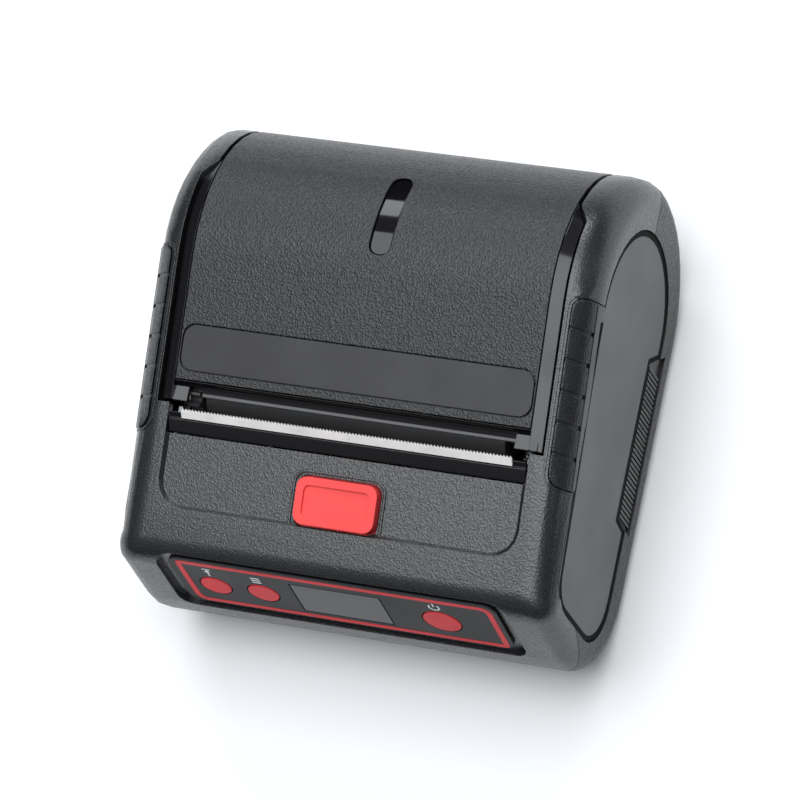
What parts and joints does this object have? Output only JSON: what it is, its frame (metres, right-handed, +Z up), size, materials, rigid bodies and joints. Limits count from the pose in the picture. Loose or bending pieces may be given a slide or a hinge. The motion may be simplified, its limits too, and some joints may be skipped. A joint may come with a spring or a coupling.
{
  "type": "portable thermal printer",
  "caption": "Pocket-size receipt printer: rounded black case, hinged paper cover with rubber platen, toothed tear bar, red open button, leaning key panel with display.",
  "frame": {"origin": "on the surface that the printer stands on, under the middle of its case", "axes": "+Z up, +Y to the back where the cover's hinge is, +X to the right of someone who faces the key panel"},
  "size_m": [0.1098, 0.113, 0.0622],
  "materials": {
    "bottom_shell": "fine matt black housing plastic",
    "upper_housing": "coarse leather-grain black plastic",
    "side_plate_left": "fine-grain grey plastic",
    "side_plate_right": "fine-grain grey plastic",
    "side_rib_strip_left": "ribbed black rubber",
    "side_rib_strip_right": "ribbed black rubber",
    "rail_grip_left": "black rubber",
    "rail_grip_right": "black rubber",
    "hinge_pin": "ground steel",
    "mechanism_frame": "zinc-plated sheet",
    "print_head": "glazed ceramic",
    "head_heat_sink": "plain aluminium",
    "head_spring_left": "spring steel",
    "head_spring_right": "spring steel",
    "tear_bar": "bright stamped steel",
    "tear_bar_holder": "polished black plastic",
    "stepper_motor": "zinc-plated can",
    "main_board": "green circuit board",
    "key_board": "green circuit board",
    "feed_switch": "tinned",
    "mode_switch": "tinned",
    "power_switch": "tinned",
    "panel_overlay": "fine-grain charcoal film with a red border line",
    "display_window": "clear window over a grey display",
    "display_module": "grey glass display",
    "paper_tub": "fine matt black plastic",
    "battery_pack": "matt dark grey plastic",
    "charge_socket": "bright steel",
    "power_socket": "satin black plastic",
    "case_screw_1": "zinc-plated",
    "case_screw_2": "zinc-plated",
    "case_screw_3": "zinc-plated",
    "case_screw_4": "zinc-plated",
    "latch_spring": "spring steel",
    "cover_frame": "polished black plastic",
    "cover_skin": "coarse leather-grain black plastic",
    "label_plate": "satin dark grey plate, left bare",
    "slot_window": "dark smoked window",
    "platen_bush_left": "bright bearing steel",
    "platen_bush_right": "bright bearing steel",
    "platen_roller": "ground black rubber",
    "platen_shaft": "ground steel",
    "platen_gear": "natural acetal",
    "idler_gear": "natural acetal",
    "motor_pinion": "sintered metal",
    "motor_shaft": "ground steel",
    "latch_lever": "zinc-plated sheet",
    "open_button": "satin red plastic",
    "feed_key": "dark red disc",
    "mode_key": "dark red disc",
    "power_key": "dark red disc",
    "paper_guide_left": "satin grey plastic",
    "paper_guide_right": "satin grey plastic",
    "guide_pinion": "natural acetal",
    "battery_latch": "satin black plastic",
    "socket_flap": "soft black rubber"
  },
  "bodies": {
    "case": {"bottom_shell": "bottom_shell", "upper_housing": "upper_housing", "side_plate_left": "side_plate_left", "side_plate_right": "side_plate_right", "side_rib_strip_left": "side_rib_strip_left", "side_rib_strip_right": "side_rib_strip_right", "rail_grip_left": "rail_grip_left", "rail_grip_right": "rail_grip_right", "hinge_pin": "hinge_pin", "mechanism_frame": "mechanism_frame", "print_head": "print_head", "head_heat_sink": "head_heat_sink", "head_spring_left": "head_spring_left", "head_spring_right": "head_spring_right", "tear_bar": "tear_bar", "tear_bar_holder": "tear_bar_holder", "stepper_motor": "stepper_motor", "main_board": "main_board", "key_board": "key_board", "feed_switch": "feed_switch", "mode_switch": "mode_switch", "power_switch": "power_switch", "panel_overlay": "panel_overlay", "display_window": "display_window", "display_module": "display_module", "paper_tub": "paper_tub", "battery_pack": "battery_pack", "charge_socket": "charge_socket", "power_socket": "power_socket", "case_screw_1": "case_screw_1", "case_screw_2": "case_screw_2", "case_screw_3": "case_screw_3", "case_screw_4": "case_screw_4", "latch_spring": "latch_spring"},
    "cover": {"cover_frame": "cover_frame", "cover_skin": "cover_skin", "label_plate": "label_plate", "slot_window": "slot_window", "platen_bush_left": "platen_bush_left", "platen_bush_right": "platen_bush_right"},
    "platen": {"platen_roller": "platen_roller", "platen_shaft": "platen_shaft", "platen_gear": "platen_gear"},
    "idler": {"idler_gear": "idler_gear"},
    "motor_rotor": {"motor_pinion": "motor_pinion", "motor_shaft": "motor_shaft"},
    "latch": {"latch_lever": "latch_lever"},
    "open_button": {"open_button": "open_button"},
    "feed_key": {"feed_key": "feed_key"},
    "mode_key": {"mode_key": "mode_key"},
    "power_key": {"power_key": "power_key"},
    "guide_left": {"paper_guide_left": "paper_guide_left"},
    "guide_right": {"paper_guide_right": "paper_guide_right"},
    "guide_pinion": {"guide_pinion": "guide_pinion"},
    "battery_latch": {"battery_latch": "battery_latch"},
    "socket_flap": {"socket_flap": "socket_flap"}
  },
  "joints": [
    {"name": "cover_hinge", "type": "hinge", "parent": "case", "child": "cover", "pos_m": [0, 0.05295, 0.031], "axis": [-1, 0, 0], "range_deg": [0, 95]},
    {"name": "platen_spin", "type": "hinge", "parent": "cover", "child": "platen", "pos_m": [0, -0.0102, 0.0476], "axis": [1, 0, 0], "continuous": true},
    {"name": "idler_spin", "type": "hinge", "parent": "case", "child": "idler", "pos_m": [0, -0.0137, 0.0343], "axis": [1, 0, 0], "continuous": true},
    {"name": "motor_spin", "type": "hinge", "parent": "case", "child": "motor_rotor", "pos_m": [0, -0.02585, 0.0343], "axis": [1, 0, 0], "continuous": true},
    {"name": "open_button_press", "type": "slide", "parent": "case", "child": "open_button", "axis": [0, 0.1788, -0.9839], "range_m": [0, 0.002], "stiffness_N_per_m": 900, "springref_m": -0.001},
    {"name": "latch_turn", "type": "hinge", "parent": "case", "child": "latch", "pos_m": [0, -0.017, 0.038], "axis": [1, 0, 0], "range_deg": [0, 9.4], "deforming": ["latch_spring"]},
    {"name": "feed_key_press", "type": "slide", "parent": "case", "child": "feed_key", "axis": [0, 0.9622, -0.2723], "range_m": [0, 0.0004], "stiffness_N_per_m": 900, "springref_m": -0.0004},
    {"name": "mode_key_press", "type": "slide", "parent": "case", "child": "mode_key", "axis": [0, 0.9622, -0.2723], "range_m": [0, 0.0004], "stiffness_N_per_m": 900, "springref_m": -0.0004},
    {"name": "power_key_press", "type": "slide", "parent": "case", "child": "power_key", "axis": [0, 0.9622, -0.2723], "range_m": [0, 0.0004], "stiffness_N_per_m": 900, "springref_m": -0.0004},
    {"name": "guide_left_slide", "type": "slide", "parent": "case", "child": "guide_left", "axis": [1, 0, 0], "range_m": [0, 0.018]},
    {"name": "guide_right_slide", "type": "slide", "parent": "case", "child": "guide_right", "axis": [-1, 0, 0], "range_m": [0, 0.018]},
    {"name": "guide_pinion_spin", "type": "hinge", "parent": "case", "child": "guide_pinion", "pos_m": [0, 0.018, 0.0043], "axis": [0, 0, 1], "range_deg": [0, 257.84]},
    {"name": "battery_latch_slide", "type": "slide", "parent": "case", "child": "battery_latch", "axis": [0, 1, 0], "range_m": [0, 0.0025], "stiffness_N_per_m": 400, "springref_m": -0.001},
    {"name": "socket_flap_hinge", "type": "hinge", "parent": "case", "child": "socket_flap", "pos_m": [-0.0542, -0.034, 0.0224], "axis": [0, -1, 0], "range_deg": [0, 100]}
  ],
  "couplings": [
    {"joint": "idler_spin", "follows": "platen_spin", "ratio": -0.7},
    {"joint": "motor_spin", "follows": "platen_spin", "ratio": 1.4},
    {"joint": "latch_turn", "follows": "open_button_press", "rad_per_m": 81.5},
    {"joint": "guide_right_slide", "follows": "guide_left_slide", "ratio": 1},
    {"joint": "guide_pinion_spin", "follows": "guide_left_slide", "rad_per_m": 250}
  ]
}
